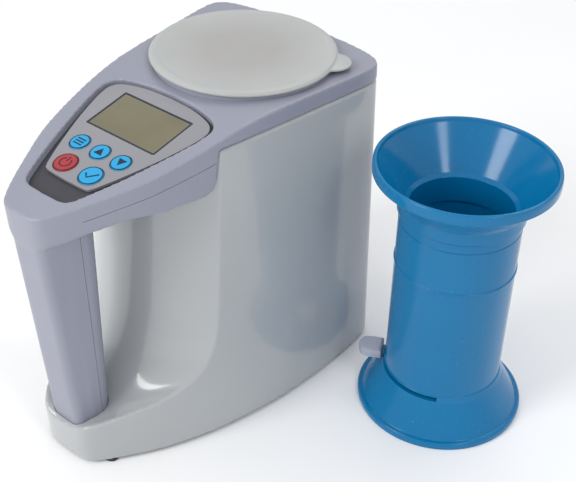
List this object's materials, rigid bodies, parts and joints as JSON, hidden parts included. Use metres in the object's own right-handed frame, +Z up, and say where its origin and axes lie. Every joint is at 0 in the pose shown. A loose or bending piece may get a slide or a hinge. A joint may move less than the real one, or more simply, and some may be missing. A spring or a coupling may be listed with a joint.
{
  "type": "grain moisture meter",
  "caption": "Bench grain moisture meter with a handle post, sloped keypad and display, round mouth with a lid, and a separate filling cup with a rotary gate.",
  "frame": {"origin": "middle of the footprint of the meter and its filling cup together, on the surface they stand on", "axes": "+Z up, -Y towards the handle and keypad side of the meter, +X towards the filling cup"},
  "size_m": [0.3096, 0.2993, 0.2461],
  "materials": {
    "pearl_white": "glossy pearl white moulding",
    "lilac_grey": "satin lilac grey moulding",
    "milky_lid": "milky translucent soft plastic",
    "dark_tray": "satin dark grey",
    "silver_overlay": "fine silver grey film",
    "lcd_glass": "clear window over an olive grey display",
    "lcd_face": "olive grey display",
    "key_blue": "satin cyan blue",
    "key_red": "satin red",
    "cup_blue": "satin blue moulding",
    "lever_white": "satin pale grey",
    "inner_white": "plain white",
    "dark_plastic": "textured dark grey",
    "rubber": "matt rubber",
    "steel": "plated",
    "aluminium": "turned",
    "board_green": "solder mask green",
    "battery_case": "sleeved"
  },
  "bodies": {
    "meter": {"base_plate": "dark_plastic", "base_screw_1": "steel", "base_screw_2": "steel", "base_screw_3": "steel", "base_screw_4": "steel", "base_screw_5": "steel", "base_screw_6": "steel", "battery_1": "battery_case", "battery_2": "battery_case", "battery_3": "battery_case", "battery_4": "battery_case", "cell_base": "inner_white", "centre_electrode": "aluminium", "contact_front_left": "steel", "contact_front_right": "steel", "contact_rear_left": "steel", "contact_rear_middle": "steel", "contact_rear_right": "steel", "display_ribbon": "inner_white", "handle_back_cover": "lilac_grey", "key_board": "board_green", "keypad_overlay": "silver_overlay", "lcd_lens": "lcd_glass", "lcd_module": "lcd_face", "load_cell": "aluminium", "load_cell_screw": "steel", "main_board": "board_green", "main_shell": "pearl_white", "mouth_ring": "lilac_grey", "outer_electrode": "aluminium", "panel_tray": "dark_tray", "rubber_foot_1": "rubber", "rubber_foot_2": "rubber", "rubber_foot_3": "rubber", "rubber_foot_4": "rubber", "switch_down": "dark_plastic", "switch_menu": "dark_plastic", "switch_ok": "dark_plastic", "switch_power": "dark_plastic", "switch_up": "dark_plastic", "temperature_probe": "steel", "top_cover": "lilac_grey"},
    "lid": {"lid": "milky_lid"},
    "battery_door": {"battery_door": "dark_plastic"},
    "cup": {"cup_funnel": "cup_blue", "cup_barrel": "cup_blue", "gate_seat": "cup_blue", "gate_pivot": "steel"},
    "gate": {"gate_shutter": "cup_blue", "gate_lever": "lever_white"},
    "key_menu": {"key_menu": "key_blue"},
    "key_up": {"key_up": "key_blue"},
    "key_down": {"key_down": "key_blue"},
    "key_power": {"key_power": "key_red"},
    "key_ok": {"key_ok": "key_blue"}
  },
  "joints": [
    {"name": "lid_lift", "type": "slide", "parent": "meter", "child": "lid", "axis": [0, 0, 1], "range_m": [0, 0.08]},
    {"name": "press_menu", "type": "slide", "parent": "meter", "child": "key_menu", "axis": [0, 0.1959, -0.9806], "range_m": [0, 0.0008], "stiffness_N_per_m": 900},
    {"name": "press_up", "type": "slide", "parent": "meter", "child": "key_up", "axis": [0, 0.1959, -0.9806], "range_m": [0, 0.0008], "stiffness_N_per_m": 900},
    {"name": "press_down", "type": "slide", "parent": "meter", "child": "key_down", "axis": [0, 0.1959, -0.9806], "range_m": [0, 0.0008], "stiffness_N_per_m": 900},
    {"name": "press_power", "type": "slide", "parent": "meter", "child": "key_power", "axis": [0, 0.1959, -0.9806], "range_m": [0, 0.0008], "stiffness_N_per_m": 900},
    {"name": "press_ok", "type": "slide", "parent": "meter", "child": "key_ok", "axis": [0, 0.1959, -0.9806], "range_m": [0, 0.0008], "stiffness_N_per_m": 900},
    {"name": "battery_door_release", "type": "slide", "parent": "meter", "child": "battery_door", "axis": [0, 0, -1], "range_m": [0, 0.03]},
    {"name": "cup_lift", "type": "slide", "parent": "meter", "child": "cup", "axis": [0, 0, 1], "range_m": [0, 0.25]},
    {"name": "gate_turn", "type": "hinge", "parent": "cup", "child": "gate", "pos_m": [0.09255, 0.08737, 0.0321], "axis": [0, 0, 1], "range_deg": [0, 85]}
  ]
}
